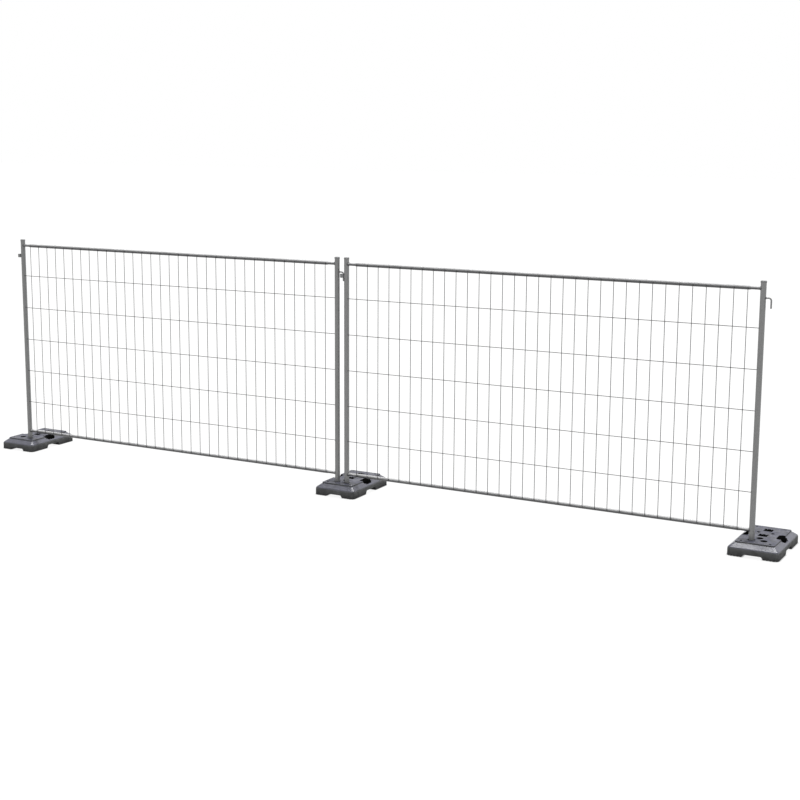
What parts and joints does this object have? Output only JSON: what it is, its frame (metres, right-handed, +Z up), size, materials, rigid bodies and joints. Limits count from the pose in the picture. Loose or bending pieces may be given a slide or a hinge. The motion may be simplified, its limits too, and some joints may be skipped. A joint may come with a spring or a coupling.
{
  "type": "temporary fence panel",
  "caption": "Temporary site fence: wire mesh panels in tube frames, hooked together by hook and eye, standing in moulded plastic feet; the panels swing and the end feet turn.",
  "frame": {"origin": "on the ground under the middle of the run, midway along the feet", "axes": "+X along the fence from the eye end to the hook end, +Y from the wire side to the back, +Z up"},
  "size_m": [7.378, 0.6, 1.996],
  "materials": {
    "galvanised_tube": "galvanised, dull",
    "galvanised_wire": "galvanised, dull",
    "galvanised_bar": "galvanised, dull",
    "weld_metal": "rough weld bead under zinc paint",
    "cap_plastic": "moulded, matte",
    "foot_plastic": "recycled plastic, mottled, matte"
  },
  "bodies": {
    "middle_foot": {"middle_foot": "foot_plastic"},
    "left_panel": {"left_panel_left_post": "galvanised_tube", "left_panel_right_post": "galvanised_tube", "left_panel_top_rail": "galvanised_tube", "left_panel_bottom_rail": "galvanised_tube", "left_panel_vertical_wires": "galvanised_wire", "left_panel_horizontal_wires": "galvanised_wire", "left_panel_hook": "galvanised_bar", "left_panel_eye": "galvanised_bar", "left_panel_post_caps": "cap_plastic", "left_panel_rail_welds": "weld_metal", "left_panel_coupling_welds": "weld_metal"},
    "right_panel": {"right_panel_left_post": "galvanised_tube", "right_panel_right_post": "galvanised_tube", "right_panel_top_rail": "galvanised_tube", "right_panel_bottom_rail": "galvanised_tube", "right_panel_vertical_wires": "galvanised_wire", "right_panel_horizontal_wires": "galvanised_wire", "right_panel_hook": "galvanised_bar", "right_panel_eye": "galvanised_bar", "right_panel_post_caps": "cap_plastic", "right_panel_rail_welds": "weld_metal", "right_panel_coupling_welds": "weld_metal"},
    "left_foot": {"left_foot": "foot_plastic"},
    "right_foot": {"right_foot": "foot_plastic"}
  },
  "joints": [
    {"name": "left_panel_swing", "type": "hinge", "parent": "middle_foot", "child": "left_panel", "pos_m": [-0.045, -0.16, 0], "axis": [0, 0, 1], "range_deg": [-25, 25]},
    {"name": "right_panel_swing", "type": "hinge", "parent": "middle_foot", "child": "right_panel", "pos_m": [0.045, -0.16, 0], "axis": [0, 0, 1], "range_deg": [-25, 25]},
    {"name": "left_foot_turn", "type": "hinge", "parent": "left_panel", "child": "left_foot", "pos_m": [-3.455, -0.16, 0], "axis": [0, 0, 1], "continuous": true},
    {"name": "right_foot_turn", "type": "hinge", "parent": "right_panel", "child": "right_foot", "pos_m": [3.455, -0.16, 0], "axis": [0, 0, 1], "continuous": true}
  ],
  "couplings": [
    {"joint": "right_panel_swing", "follows": "left_panel_swing", "ratio": -1}
  ]
}
